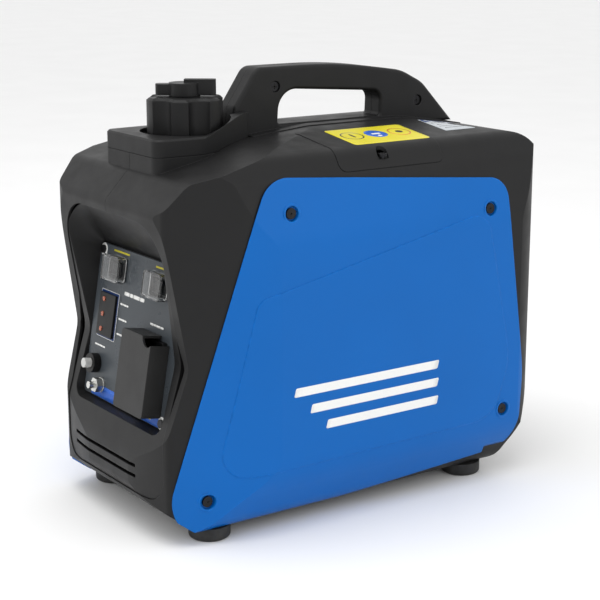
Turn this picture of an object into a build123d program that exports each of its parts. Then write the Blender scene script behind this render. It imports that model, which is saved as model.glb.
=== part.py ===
from build123d import *
from functools import cache
from math import atan2, cos, hypot, pi, radians, sin, tan
import os

# Portable inverter generator in a suitcase body, in millimetres.
# Front (control panel) faces -Y, right side faces +X, the feet stand on Z = 0.

# ---------------------------------------------------------------- overall sizes
LENGTH = 390.0  # front of the chin to the tip of the exhaust outlet
WIDTH = 240.0  # over the two side covers
HEIGHT = 373.0  # floor to the top of the handle
FOOT_HEIGHT = 10.0
HANDLE_RISE = 51.0  # top of the handle above the roof
COVER_PROUD = 2.0  # side covers stand this far out of the shells
COVER_LEAN = 0.7  # the cover's outline moves back this much for each millimetre inwards
COVER_DROP = 0.3
COVER_CLEAR = 1.5  # covers stay this far above the belly
COVER_TAIL = 60.0  # covers stop wrapping under the body this far from the back
COVER_FIELD = 0.6  # of which the raised field of the cover takes this much
OUTLET_PROUD = 5.0  # exhaust outlet stands this far out of the back

# ---------------------------------------------------------------- walls and fits
WALL = 2.5  # moulded shells
TRIM_WALL = 3.0  # fascia, grille, deck
SEAM = 0.3  # gap between mouldings that meet
FIT = 0.3  # gap round a piece that drops in
RUN = 0.3  # gap between pieces that turn or slide
PIN_RUN = 0.05  # radial gap round a shaft or pin
SPARE = 0.7  # plan outline outside the other two, so that no two faces coincide

# ---------------------------------------------------------------- body landmarks
WAIST_Z = 148.0  # where the front is pinched in
WAIST_DEPTH = 25.0
BROW_Z = 272.0  # front ridge of the hood
BROW_DEPTH = 5.0
CHIN_Z = 65.0
REAR_CORNER = 38.0  # plan radius of the back corners
FRONT_TAPER = 28.0  # front corners stand this far in from the sides
OPENING_HALF = 83.0  # front opening that the fascia fills
OPENING_LOW = 36.0
OPENING_HIGH = 263.0
OPENING_CORNER = 38.0

# ---------------------------------------------------------------- openings in the casing
GRILLE_HALF = 70.0
GRILLE_MARGIN = 80.0  # from the belly and from the roof
GRILLE_PITCH = 13.0
GRILLE_SLOT = 6.0
HATCH_FRONT = -33.0
HATCH_REAR = 76.0
HATCH_DROP = 27.0  # lower edge below the roof

# ---------------------------------------------------------------- control panel
PANEL_WIDTH = 143.0
PANEL_HEIGHT = 132.0
PANEL_THICK = 3.0
PANEL_TILT = 9.8  # top leans back
PANEL_Z = 157.5
PANEL_SETBACK = 27.7  # centre of its face behind the chin
SWITCH_WIDTH = 29.0
SWITCH_HEIGHT = 20.5
BOOT_DEPTH = 7.5
PIVOT_RADIUS = 1.2
SWITCH_PLACES = {"engine": (-37.0, 48.5), "economy": (34.0, 47.0)}
OUTLET_WIDTH = 48.0
OUTLET_HEIGHT = 66.0
OUTLET_DEPTH = 18.0
OUTLET_PLACE = (37.0, -25.0)
HINGE_RADIUS = 1.6
HINGE_GAP = 0.6  # between the hinge barrel and the cover's wall
HINGE_PIN = 0.8
HINGE_LIFT = 2.2
BREAKER_RADIUS = 8.5
BREAKER_PLACE = (-55.0, -38.0)
INDICATOR_SIZE = (27.0, 37.0, 2.5)
INDICATOR_PLACE = (-45.5, 6.5)
GROUND_PLACE = (-42.0, -54.5)
PANEL_SCREW_PLACES = ((-66.0, 60.5), (63.5, -61.0))

# ---------------------------------------------------------------- fuel system
CAP_SETBACK = 82.0  # filler axis behind the chin
NECK_RADIUS = 20.0
NECK_WALL = 3.0
CAP_RADIUS = 32.0
CAP_TOP = 30.0  # above the roof
WELL_GAP = 6.0
CAP_LOBES = 6
SCOOP_RADIUS = 10.5
LOBE_TURN = -38.0  # where the first lobe points
LEVER_TURN = 52.0  # where the long wing of the vent lever points
DECK_RISE = 2.0  # deck above the roof
DECK_DEPTH = 14.5
SADDLE_RISE = 14.0  # rim behind the cap, above the deck
COLLAR_HALF = 45.0
COLLAR_TAIL = 20.0
TANK_HALF = 78.0
TANK_HEIGHT = 78.0

# ---------------------------------------------------------------- handle
HANDLE_HALF = 12.5
HANDLE_BASE_HALF = 24.0
HANDLE_FRONT = -62.0
HANDLE_BACK = 166.0
GRIP_THICK = 24.0
HANDLE_ROUND = 3.0

# ---------------------------------------------------------------- engine
CRANK_Z = 98.0
ENGINE_Y = 22.0
BORE = 43.0
STROKE = 36.0
ROD_LENGTH = 62.0
JOURNAL_RADIUS = 9.0
FIN_HALF = 37.0
CASE_LEFT = -38.0
CASE_RIGHT = 34.0
FLYWHEEL_RADIUS = 50.0
FAN_RADIUS = 55.0
SHROUD_WALL = 2.0
PULLEY_RADIUS = 36.0
PULLEY_X = -92.0
ROPE_RADIUS = 2.25
ISOLATOR_HEIGHT = 18.0
MUFFLER_LENGTH = 76.0
MUFFLER_HALF = 60.0
MUFFLER_HEIGHT = 112.0
OUTLET_X = 34.0  # exhaust outlet
OUTLET_Z = 198.0
OUTLET_RADIUS = 17.0

# ---------------------------------------------------------------- side fittings
SCREW_RADIUS = 4.5
SCREW_SHANK = 2.0
SCREW_RECESS = 6.3
SCREW_SINK = 3.5
CUP_RADIUS = 8.0
CUP_DEPTH = 6.0
FOOT_RADIUS = 17.5
FOOT_SPAN = 82.0
FOOT_SETBACK = 50.0
KNOB_RADIUS = 16.0
GRIP_LENGTH = 74.0
GRIP_HEIGHT = 24.0
GRIP_DEPTH = 15.0
POCKET_WALL = 2.0

# ---------------------------------------------------------------- worked out from the above
FRONT = -LENGTH / 2
REAR = LENGTH / 2 - OUTLET_PROUD
HALF = WIDTH / 2 - COVER_PROUD
BELLY = FOOT_HEIGHT
ROOF = HEIGHT - HANDLE_RISE
CAP_Y = FRONT + CAP_SETBACK
DECK_TOP = ROOF + DECK_RISE
PARTING = DECK_TOP - DECK_DEPTH
GRILLE_LOW = BELLY + GRILLE_MARGIN + 14.0
GRILLE_HIGH = ROOF - GRILLE_MARGIN + 8.0
HATCH_LOW = ROOF - HATCH_DROP
ROPE_Y = ENGINE_Y - PULLEY_RADIUS
GRIP_Z = CRANK_Z + 78.0
POCKET_FLOOR = -(HALF - GRIP_DEPTH - 3.0)
TILT = radians(PANEL_TILT)
PANEL = Plane(
    origin=(0, FRONT + PANEL_SETBACK, PANEL_Z),
    x_dir=(1, 0, 0),
    z_dir=(0, -cos(TILT), sin(TILT)),
)
BASE_TOP = BELLY + WALL + 4.0
CASE_LOW = BASE_TOP + ISOLATOR_HEIGHT
CASE_HIGH = CRANK_Z + 35.0
HEAD_LOW = CRANK_Z + STROKE / 2 + ROD_LENGTH + 20.0
HEAD_HIGH = HEAD_LOW + 35.0
TANK_HIGH = PARTING - 6.0
TANK_LOW = TANK_HIGH - TANK_HEIGHT
TANK_FRONT = FRONT + 52.0
TANK_REAR = ENGINE_Y - FIN_HALF - 10.0
PORT_Z = HEAD_LOW + 12.0
HOSE_X = -52.0
HOSE_Y = ENGINE_Y - FIN_HALF - 18.0
MUFFLER_REAR = REAR - 24.0
MUFFLER_FRONT = MUFFLER_REAR - MUFFLER_LENGTH


# ---------------------------------------------------------------- outline helpers
def outline(corners, inset=0.0):
    """Closed face from anticlockwise corners (u, v, radius), moved inwards by inset."""
    count = len(corners)
    moved = []
    for i, (u, v, radius) in enumerate(corners):
        before, after = corners[i - 1], corners[(i + 1) % count]
        a = _unit(u - before[0], v - before[1])
        b = _unit(after[0] - u, after[1] - v)
        turn = a[0] * b[1] - a[1] * b[0]
        share = 1 + a[0] * b[0] + a[1] * b[1]
        normal = (-(a[1] + b[1]) / share, (a[0] + b[0]) / share)
        grown = radius - inset if turn > 0 else radius + inset
        kept = 0.0 if radius == 0 else max(grown, 0.3)
        moved.append((u + normal[0] * inset, v + normal[1] * inset, kept))
    edges, joints = [], []
    runs = [_run(moved[i], moved[i - 1], moved[(i + 1) % count]) for i in range(count)]
    for i, (u, v, radius) in enumerate(moved):
        before, after = moved[i - 1], moved[(i + 1) % count]
        back = hypot(u - before[0], v - before[1]) / max(runs[i] + runs[i - 1], 1e-9)
        ahead = hypot(after[0] - u, after[1] - v) / max(runs[i] + runs[(i + 1) % count], 1e-9)
        limited = radius * min(1.0, 0.98 * back, 0.98 * ahead)
        joints.append(_corner((u, v), before, after, limited))
    for i, (start, middle, end) in enumerate(joints):
        if middle is not None:
            edges.append(ThreePointArc(start, middle, end))
        following = joints[(i + 1) % count][0]
        edges.append(Line(end, following))
    return make_face(edges)


def _unit(u, v):
    size = hypot(u, v)
    return (u / size, v / size)


def _run(corner, before, after):
    """Length of edge that the rounding of a corner takes up on each side of it."""
    u, v, radius = corner
    a = _unit(u - before[0], v - before[1])
    b = _unit(after[0] - u, after[1] - v)
    turn = atan2(abs(a[0] * b[1] - a[1] * b[0]), a[0] * b[0] + a[1] * b[1])
    return radius * tan(turn / 2)


def _corner(point, before, after, radius):
    """Start, middle and end of the arc that rounds one corner."""
    a = _unit(before[0] - point[0], before[1] - point[1])
    b = _unit(after[0] - point[0], after[1] - point[1])
    if radius == 0:
        return point, None, point
    half = atan2(abs(a[0] * b[1] - a[1] * b[0]), a[0] * b[0] + a[1] * b[1]) / 2
    run = radius / tan(half)
    axis = _unit(a[0] + b[0], a[1] + b[1])
    reach = radius / sin(half) - radius
    start = (point[0] + a[0] * run, point[1] + a[1] * run)
    end = (point[0] + b[0] * run, point[1] + b[1] * run)
    return start, (point[0] + axis[0] * reach, point[1] + axis[1] * reach), end


def block(x0, x1, y0, y1, z0, z1):
    """Box between two corners."""
    box = Box(x1 - x0, y1 - y0, z1 - z0)
    return Pos((x0 + x1) / 2, (y0 + y1) / 2, (z0 + z1) / 2) * box


def rod_x(radius, x0, x1, y, z):
    """Round bar along X."""
    return Pos((x0 + x1) / 2, y, z) * Rot(0, 90, 0) * Cylinder(radius, x1 - x0)


def rod_y(radius, y0, y1, x, z):
    """Round bar along Y."""
    return Pos(x, (y0 + y1) / 2, z) * Rot(90, 0, 0) * Cylinder(radius, y1 - y0)


def rod_z(radius, z0, z1, x, y):
    """Round bar along Z."""
    return Pos(x, y, (z0 + z1) / 2) * Cylinder(radius, z1 - z0)


def slab(face, low, high, plane=Plane.XY):
    """Extrudes a sketch that lies on plane, between two heights along its normal."""
    return extrude(plane.offset(low) * face, high - low)


def mirrored(corners):
    """Adds the other half of an outline given from the bottom up on its right side."""
    return corners + [(-u, v, r) for u, v, r in reversed(corners)]


# ---------------------------------------------------------------- body outlines
def side_corners():
    """Body seen from the side, in Y and Z."""
    return [
        (FRONT + 32, BELLY, 25),
        (REAR - 40, BELLY, 12),
        (REAR - 26, BELLY + 26, 60),
        (REAR, BELLY + 95, 120),
        (REAR - 4, ROOF - 13, 28),
        (REAR - 90, ROOF, 250),
        (FRONT + 190, ROOF, 200),
        (FRONT + 107, ROOF - 8, 150),
        (FRONT + 27, ROOF - 26, 14),
        (FRONT + BROW_DEPTH, BROW_Z, 10),
        (FRONT + WAIST_DEPTH, WAIST_Z, 30),
        (FRONT, CHIN_Z, 60),
        (FRONT, BELLY + 24, 20),
    ]


def plan_corners():
    """Body seen from above, in X and Y."""
    right = [
        (0.42 * HALF, FRONT - SPARE, 380),
        (HALF - FRONT_TAPER, FRONT + 9 - SPARE, 10),
        (HALF + SPARE, FRONT + 85, 150),
        (HALF + SPARE, REAR + SPARE, REAR_CORNER),
    ]
    return mirrored(right)


def section_corners():
    """Body seen from the front, in X and Z."""
    right = [
        (HALF - 20, BELLY, 20),
        (HALF, BELLY + 42, 60),
        (HALF, ROOF - 78, 100),
        (HALF - 8.5, ROOF - 27, 12),
        (HALF - 19, ROOF - 9.5, 16),
        (30, ROOF, 200),
    ]
    return mirrored(right)


@cache
def envelope(inset=0.0):
    """Solid body that fills the three outlines at once."""
    side = extrude(Plane.YZ * outline(side_corners(), inset), WIDTH, both=True)
    plan = slab(outline(plan_corners(), inset), 0, HEIGHT)
    section = extrude(Plane.XZ * outline(section_corners(), inset), LENGTH, both=True)
    return side & plan & section


def collar(inset, low, high):
    """Raised collar round the filler, wide in front and narrow at the handle."""
    right = [
        (COLLAR_HALF - 1, FRONT + 29, 9),
        (COLLAR_HALF + 1, CAP_Y - 9, 30),
        (COLLAR_TAIL, HANDLE_FRONT - 1, 4),
    ]
    return slab(outline(mirrored(right), inset), low, high)


def front_opening(inset, y0, y1):
    """Prism through the front opening."""
    right = [
        (OPENING_HALF, OPENING_LOW, 20),
        (OPENING_HALF, OPENING_HIGH, OPENING_CORNER),
    ]
    prism = extrude(Plane.XZ * outline(mirrored(right), inset), y1 - y0)
    return Pos(0, y1, 0) * prism


def rear_opening(inset):
    """Prism through the opening that the rear grille fills."""
    right = [(GRILLE_HALF, GRILLE_LOW, 10), (GRILLE_HALF, GRILLE_HIGH, 10)]
    prism = extrude(Plane.XZ * outline(mirrored(right), inset), 60)
    return Pos(0, REAR + 20, 0) * prism


def hatch_opening(inset):
    """Prism through the roof edge that the plug hatch fills, on the right side."""
    window = outline(
        [
            (HATCH_FRONT, HATCH_LOW, 7),
            (HATCH_REAR, HATCH_LOW, 7),
            (HATCH_REAR, ROOF + 30, 0),
            (HATCH_FRONT, ROOF + 30, 0),
        ],
        inset,
    )
    prism = extrude(Plane.YZ * window, 80)
    return Pos(HANDLE_BASE_HALF + 20 + inset, 0, 0) * prism


def cover_corners():
    """Side cover seen from the right, in Y and Z."""
    return [
        (FRONT + 6, BELLY + 2.5, 18),
        (FRONT + 110, BELLY + 5.5, 400),
        (REAR - 28, BELLY + 19.5, 34),
        (REAR - 24, BELLY + 88, 120),
        (REAR - 50, ROOF - 45, 24),
        (FRONT + 165, ROOF - 29, 500),
        (FRONT + 86, ROOF - 22, 24),
        (FRONT - 12, BELLY + 33.5, 30),
    ]


def field_corners():
    """Raised field of a side cover, in Y and Z."""
    return [
        (FRONT + 43, BELLY + 45, 20),
        (REAR - 60, BELLY + 50, 30),
        (REAR - 42, BELLY + 102, 60),
        (REAR - 72, ROOF - 72, 20),
        (FRONT + 78, ROOF - 120, 14),
    ]


def side_screws():
    """Y and Z of the four screws in a side cover."""
    return [
        (FRONT + 110, ROOF - 54),
        (REAR - 68, ROOF - 71),
        (FRONT + 37, BELLY + 28),
        (REAR - 48, BELLY + 56.5),
    ]


# ---------------------------------------------------------------- casing
def recoil_pocket(outer, side_gap):
    """Pocket in the left side that takes the recoil grip."""
    reach = GRIP_LENGTH / 2 + 3 + side_gap
    tall = GRIP_HEIGHT / 2 + 3 + side_gap
    return block(
        -HALF - 20, POCKET_FLOOR + outer, ROPE_Y - reach, ROPE_Y + reach, GRIP_Z - tall, GRIP_Z + tall
    )


def knob_places():
    """Y and Z of the choke lever and the fuel valve, on the left side."""
    return {"choke": (ENGINE_Y - 87, CRANK_Z + 10), "fuel": (FRONT + 80, CRANK_Z + 75)}


def knob_pocket(place, radius, floor):
    y, z = place
    return rod_x(radius, -HALF - 20, floor, y, z)


def shells():
    """Left and right halves of the casing, split at X = 0."""
    outer = envelope() + collar(0, ROOF - 40, PARTING)
    inner = envelope(WALL) + collar(WALL, ROOF - 50, PARTING + 20)
    skin = outer - inner
    skin += recoil_pocket(POCKET_WALL, POCKET_WALL) & envelope()
    for place in knob_places().values():
        skin += knob_pocket(place, KNOB_RADIUS + 4, -HALF + 12) & envelope()
    skin += cover_cups(10, 20, 0) & envelope()
    skin -= front_opening(0, FRONT - 20, FRONT + 60)
    skin -= intake_slits()
    skin -= rear_opening(0)
    skin -= hatch_opening(0)
    skin += hatch_tab(ROOF - 40, ROOF - 20, 6) & envelope(WALL)
    skin -= rod_z(SCREW_SHANK + PIN_RUN, ROOF - 40, ROOF, *hatch_screw())
    skin -= block(
        -HANDLE_BASE_HALF - SEAM,
        HANDLE_BASE_HALF + SEAM,
        HANDLE_FRONT - SEAM,
        HANDLE_BACK + SEAM,
        ROOF - 30,
        ROOF + 20,
    )
    skin -= collar(-SEAM, PARTING, ROOF + 20)
    skin -= cover_cups(CUP_RADIUS + FIT, CUP_DEPTH + FIT, 5)
    skin -= cover_cups(SCREW_SHANK + PIN_RUN, 22, 5)
    skin -= recoil_pocket(0, 0)
    for place in knob_places().values():
        skin -= knob_pocket(place, KNOB_RADIUS + 2, -HALF + 10)
        skin -= rod_x(4 + RUN, -HALF, -HALF + 20, *place)
    skin -= rod_x(ROPE_RADIUS + 1, -HALF, -HALF + 40, ROPE_Y, GRIP_Z)
    skin -= foot_places(4 + FIT, BELLY - 1, BELLY + WALL + 1)
    skin -= side_vents(-HALF - 10, -HALF + 6)
    left = skin & block(-WIDTH, -SEAM / 2, -LENGTH, LENGTH, 0, HEIGHT)
    right = skin & block(SEAM / 2, WIDTH, -LENGTH, LENGTH, 0, HEIGHT)
    return {"shell_left": left, "shell_right": right}


@cache
def cover_edge(y, z):
    """How far out the right cover's surface lies at one place."""
    probe = envelope(-COVER_PROUD) & rod_x(0.5, 0, WIDTH, y, z)
    return probe.bounding_box().max.X


def cover_prism():
    """Prism that cuts out a side cover; it leans back so that the front edge wraps the corner."""
    start = HALF - 2 * FRONT_TAPER
    reach = WIDTH / 2 + 5 - start
    face = Plane.YZ * outline(cover_corners())
    shift = HALF - start
    moved = Pos(start, COVER_LEAN * shift, -COVER_DROP * shift) * face
    lean = Vector(1, -COVER_LEAN, COVER_DROP)
    return extrude(moved, reach * lean.length, dir=lean.normalized())


def cover_cups(radius, depth, rise):
    """Round bars at the eight cover screws, from depth below the surface to rise above it."""
    right = Part()
    for y, z in side_screws():
        edge = cover_edge(y, z)
        right += rod_x(radius, edge - depth, edge + rise, y, z)
    return right + mirror(right, Plane.YZ)


def intake_slits():
    """Air slits beside the fascia, widest at the waist."""
    wedge = [
        (OPENING_HALF - 2, WAIST_Z - 58, 0),
        (OPENING_HALF + 7, WAIST_Z, 3),
        (OPENING_HALF - 2, WAIST_Z + 36, 0),
    ]
    right = Pos(0, FRONT + 60, 0) * extrude(Plane.XZ * outline(wedge), 80)
    return right + mirror(right, Plane.YZ)


def side_vents(x0, x1):
    """Cooling slots over the fan, through the left shell and cover."""
    slots = Part()
    for row in range(7):
        z = CRANK_Z - 42 + 12 * row
        slots += block(x0, x1, ENGINE_Y - 22, ENGINE_Y + 50, z, z + 4)
    return slots


def side_covers():
    """Coloured covers screwed to both sides."""
    sheet = envelope(COVER_FIELD - COVER_PROUD) - envelope()
    low = BELLY + COVER_CLEAR
    reach = block(HALF - 9, WIDTH, -LENGTH, LENGTH, low, HEIGHT)
    reach += block(HALF - FRONT_TAPER - 4, WIDTH, -LENGTH, REAR - COVER_TAIL, low, HEIGHT)
    right = sheet & cover_prism() & reach
    field = extrude(Plane.YZ * outline(field_corners()), WIDTH)
    raised = (envelope(-COVER_PROUD) - envelope()) & field
    right += raised & block(HALF - 13, WIDTH, -LENGTH, LENGTH, 0, HEIGHT)
    cups = cover_cups(CUP_RADIUS, CUP_DEPTH, 0) & envelope(-COVER_PROUD)
    right += cups & block(0, WIDTH, -LENGTH, LENGTH, 0, HEIGHT)
    right -= cover_cups(SCREW_RECESS, SCREW_SINK, 5)
    right -= cover_cups(SCREW_SHANK + PIN_RUN, 30, 5)
    left = mirror(right, Plane.YZ)
    left -= recoil_pocket(0, 0)
    for place in knob_places().values():
        left -= knob_pocket(place, KNOB_RADIUS + 2, -60)
    left -= side_vents(-HALF - 10, -HALF + 6)
    return {"side_cover_left": left, "side_cover_right": right}


def side_cover_screws():
    """Eight cover screws, sunk in their cups."""
    group = []
    for sign in (-1, 1):
        for y, z in side_screws():
            seat = cover_edge(y, z) - SCREW_SINK
            screw = rod_x(SCREW_RADIUS, seat, seat + 2.2, y, z)
            screw += rod_x(SCREW_SHANK, seat - 14, seat, y, z)
            group.append(screw if sign > 0 else mirror(screw, Plane.YZ))
    return {"side_cover_screws": Part() + group}


def foot_places(radius, low, high):
    """Four round bars at the feet."""
    bars = Part()
    for x in (-FOOT_SPAN, FOOT_SPAN):
        for y in (FRONT + FOOT_SETBACK, REAR - 64):
            bars += rod_z(radius, low, high, x, y)
    return bars


def base():
    """Base pan inside the shells, with the rubber feet under it."""
    pan = block(-HALF + 30, HALF - 30, FRONT + 40, REAR - 22, BELLY + WALL, BASE_TOP)
    for x in (-HALF + 30, HALF - 34):
        pan += block(x, x + 4, FRONT + 70, REAR - 60, BASE_TOP - 1, BASE_TOP + 12)
    pan = pan & envelope(WALL)
    pan -= foot_places(4 + FIT, BELLY, BASE_TOP - 2)
    feet = foot_places(FOOT_RADIUS, 0, BELLY + COVER_CLEAR - FIT)
    feet = fillet(feet.edges().group_by(Axis.Z)[0], 3) - envelope()
    feet += foot_places(4, BELLY - 1, BASE_TOP - 2)
    feet -= foot_places(5, -1, 3)
    return {"base_pan": pan, "rubber_feet": feet}


def recess(grow, back):
    """Funnel in front of the control panel, from the plate out to the opening."""
    near = RectangleRounded(PANEL_WIDTH + 1 + 2 * grow, PANEL_HEIGHT + 1 + 2 * grow, 4 + grow)
    wide = 2 * (OPENING_HALF + grow)
    low, high = -80.0 - grow, 101.0 + grow
    far = Pos(0, (low + high) / 2) * RectangleRounded(wide, high - low, OPENING_CORNER - 2 + grow)
    brow = 34.0
    funnel = loft([PANEL.offset(-PANEL_THICK - back) * near, PANEL.offset(brow) * far])
    return funnel + slab(far, brow, brow + 60, PANEL)


def front_fascia():
    """Front moulding that carries the control panel, with the chin louvres."""
    shape = envelope(0.8) & front_opening(SEAM, FRONT - 5, FRONT + 50)
    core = envelope(0.8 + TRIM_WALL) & front_opening(SEAM + TRIM_WALL, FRONT - 5, FRONT + 60)
    shape = shape - (core - recess(TRIM_WALL, TRIM_WALL)) - recess(0, 0)
    window = Rectangle(PANEL_WIDTH - 14, PANEL_HEIGHT - 16)
    shape -= slab(window, -30, 5, PANEL)
    for z in (OPENING_LOW + 13, OPENING_LOW + 22):
        shape -= block(-64, 46, FRONT - 5, FRONT + 12, z, z + 3)
    for u, v in PANEL_SCREW_PLACES:
        shape -= slab(Pos(u, v) * Circle(1.5 + PIN_RUN), -9, 0, PANEL)
    return {"front_fascia": shape}


def rear_grille():
    """Louvred panel in the back, round the exhaust outlet."""
    panel = (envelope() - envelope(TRIM_WALL)) & rear_opening(SEAM)
    low, high = GRILLE_LOW + 12, GRILLE_HIGH - 16
    rows = int((high - low) / GRILLE_PITCH)
    keep = rod_y(OUTLET_RADIUS + 10, REAR - 40, REAR + 20, OUTLET_X, OUTLET_Z)
    cuts = Part()
    for row in range(rows + 1):
        z = low + GRILLE_PITCH * row
        cuts += block(12 - GRILLE_HALF, -3, REAR - 20, REAR + 10, z, z + GRILLE_SLOT)
        cuts += block(3, GRILLE_HALF - 12, REAR - 20, REAR + 10, z, z + GRILLE_SLOT)
    panel -= cuts - keep
    panel -= rod_y(OUTLET_RADIUS + FIT, REAR - 40, REAR + 20, OUTLET_X, OUTLET_Z)
    return {"rear_grille": panel}


def hatch_screw():
    """X and Y of the hatch's screw."""
    return (HALF - 15, 14)


def hatch_tab(low, high, half):
    """Square boss about the hatch's screw."""
    x, y = hatch_screw()
    return block(x - half, x + half, y - half, y + half, low, high)


def plug_hatch():
    """Cover over the spark plug, at the right edge of the roof."""
    sheet = (envelope(-0.3) - envelope(WALL)) & hatch_opening(SEAM)
    sheet -= rod_z(5.5, ROOF - 20, ROOF + 5, *hatch_screw())
    sheet += hatch_tab(ROOF - 20, ROOF - 18, 5) & envelope(0.8)
    sheet -= rod_z(SCREW_SHANK + PIN_RUN, ROOF - 40, ROOF, *hatch_screw())
    return {"plug_hatch": sheet}


# ---------------------------------------------------------------- handle
def handle_profile():
    """Handle seen from the side, in Y and Z, with the finger gap taken out."""
    top = HEIGHT
    outer = outline(
        [
            (HANDLE_FRONT, ROOF - 8, 0),
            (HANDLE_BACK, ROOF - 8, 0),
            (HANDLE_BACK - 36, top - 22, 30),
            (HANDLE_BACK - 60, top - 10, 50),
            (35, top, 500),
            (-50, top, 12),
            (-72, top - 32, 8),
            (HANDLE_FRONT - 12, DECK_TOP + SEAM, 0),
            (HANDLE_FRONT, DECK_TOP + SEAM, 0),
        ]
    )
    gap = outline(
        [
            (-28, ROOF + 2, 3),
            (81, ROOF + 2, 3),
            (82, top - GRIP_THICK - 3, 9),
            (-26, top - GRIP_THICK + 5, 18),
        ]
    )
    return outer - gap


def handle():
    """Two half mouldings with a base strip that runs along the roof."""
    loop = extrude(Plane.YZ * handle_profile(), HANDLE_HALF, both=True)
    faces = loop.edges().group_by(Axis.X)
    loop = fillet(faces[0] + faces[-1], HANDLE_ROUND)
    strip = (envelope(-0.8) - envelope(WALL + 1.5)) & block(
        -HANDLE_BASE_HALF, HANDLE_BASE_HALF, HANDLE_FRONT, HANDLE_BACK, ROOF - 25, ROOF + 20
    )
    whole = loop + strip
    for y, z in handle_screw_places():
        whole -= rod_x(4.8, HANDLE_HALF - 4, HANDLE_HALF + 5, y, z)
        whole -= rod_x(SCREW_SHANK + PIN_RUN, HANDLE_HALF - 18, HANDLE_HALF, y, z)
    left = whole & block(-WIDTH, -SEAM / 2, -LENGTH, LENGTH, 0, 2 * HEIGHT)
    right = whole & block(SEAM / 2, WIDTH, -LENGTH, LENGTH, 0, 2 * HEIGHT)
    return {"handle_left": left, "handle_right": right}


def handle_screw_places():
    return [(-31, HEIGHT - 17), (HANDLE_BACK - 42, HEIGHT - 38)]


def case_screws():
    """Two screws in the handle and one in the plug hatch."""
    group = []
    for y, z in handle_screw_places():
        inner = HANDLE_HALF - 4
        head = rod_x(4.2, inner, inner + 2.5, y, z)
        group.append(head + rod_x(SCREW_SHANK, inner - 12, inner, y, z))
    top = ROOF - 18
    head = rod_z(4.2, top, top + 2.5, *hatch_screw())
    group.append(head + rod_z(SCREW_SHANK, top - 7, top, *hatch_screw()))
    return {"case_screws": Part() + group}


# ---------------------------------------------------------------- fuel system
def fuel_deck():
    """Top of the collar, with the well that the cap sits in."""
    floor = DECK_TOP - 17
    deck = collar(0, PARTING + SEAM, DECK_TOP)
    deck = chamfer(deck.edges().group_by(Axis.Z)[-1], 1.5) + saddle()
    deck += collar(WALL + FIT, floor - TRIM_WALL, PARTING + SEAM + 1)
    deck -= rod_z(CAP_RADIUS + WELL_GAP, floor, DECK_TOP + SADDLE_RISE + 1, 0, CAP_Y)
    deck -= rod_z(NECK_RADIUS + FIT, floor - 20, DECK_TOP, 0, CAP_Y)
    return {"fuel_deck": deck}


def saddle():
    """Rim that rises behind the cap to both sides of the handle's front post."""
    back = HANDLE_FRONT - 1
    side = outline(
        [
            (CAP_Y - 10, DECK_TOP - 4, 0),
            (back, DECK_TOP - 4, 0),
            (back, DECK_TOP + SADDLE_RISE, 2),
            (back - 13, DECK_TOP + SADDLE_RISE - 2, 18),
            (CAP_Y - 10, DECK_TOP - 2, 0),
        ]
    )
    rim = extrude(Plane.YZ * side, WIDTH / 2, both=True) & collar(0, PARTING + SEAM, HEIGHT)
    gap = HANDLE_HALF + SEAM
    return rim - block(-gap, gap, HANDLE_FRONT - 40, HANDLE_FRONT, DECK_TOP, HEIGHT)


def fuel_tank():
    """Tank under the hood with its filler neck."""
    def body(inset):
        plan = outline(
            mirrored([(TANK_HALF, TANK_FRONT, 18), (TANK_HALF, TANK_REAR, 18)]), inset
        )
        return slab(plan, TANK_LOW + inset, TANK_HIGH - 6 - inset)

    neck_top = ROOF + 12
    tank = body(0) + rod_z(NECK_RADIUS, TANK_HIGH - 20, neck_top, 0, CAP_Y)
    tank += rod_z(5, TANK_LOW - 14, TANK_LOW + 2, HOSE_X, HOSE_Y)
    tank -= body(2.5)
    tank -= rod_z(NECK_RADIUS - NECK_WALL, TANK_HIGH - 30, neck_top + 1, 0, CAP_Y)
    tank -= rod_z(2.5, TANK_LOW - 20, TANK_LOW + 5, HOSE_X, HOSE_Y)
    return {"fuel_tank": tank}


def fuel_cap():
    """Lobed cap, its gasket and the vent lever on top."""
    skirt_low, top = DECK_TOP - 9, ROOF + CAP_TOP
    cap = rod_z(CAP_RADIUS, skirt_low, top, 0, CAP_Y)
    for i in range(CAP_LOBES):
        angle = radians(LOBE_TURN) + 2 * pi * (i + 0.5) / CAP_LOBES
        x, y = (CAP_RADIUS + 3) * cos(angle), (CAP_RADIUS + 3) * sin(angle)
        cap -= rod_z(SCOOP_RADIUS, skirt_low - 1, top + 1, x, CAP_Y + y)
    cap = chamfer(cap.edges().group_by(Axis.Z)[-1], 2)
    seat = ROOF + 12 + 0.4
    cap -= rod_z(NECK_RADIUS + 1.5, skirt_low - 1, seat + 3.4, 0, CAP_Y)
    cap -= rod_z(5, seat, top + 1, 0, CAP_Y)
    gasket = rod_z(NECK_RADIUS + 1, seat, seat + 3, 0, CAP_Y)
    gasket -= rod_z(NECK_RADIUS - NECK_WALL, seat - 1, seat + 4, 0, CAP_Y)
    base_z = top + RUN
    lever = rod_z(13, base_z, base_z + 11, 0, CAP_Y)
    long_wing = block(0, 26, -4.5, 4.5, 1, 14)
    long_wing = fillet(long_wing.edges().filter_by(Axis.Z).group_by(Axis.X)[-1], 3)
    short_wing = block(-24, 0, -5.5, 5.5, 1, 10)
    short_wing = fillet(short_wing.edges().filter_by(Axis.Z).group_by(Axis.X)[0], 4)
    lever += Pos(0, CAP_Y, base_z) * Rot(0, 0, LEVER_TURN) * (long_wing + short_wing)
    lever += rod_z(5 - PIN_RUN, seat + 4, base_z + 1, 0, CAP_Y)
    return {"fuel_cap": cap, "fuel_cap_gasket": gasket, "vent_lever": lever}


# ---------------------------------------------------------------- control panel
def on_panel(place, face, low, high):
    """A piece extruded out of the panel face at a place on it."""
    return slab(Pos(*place) * face, low, high, PANEL)


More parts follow.
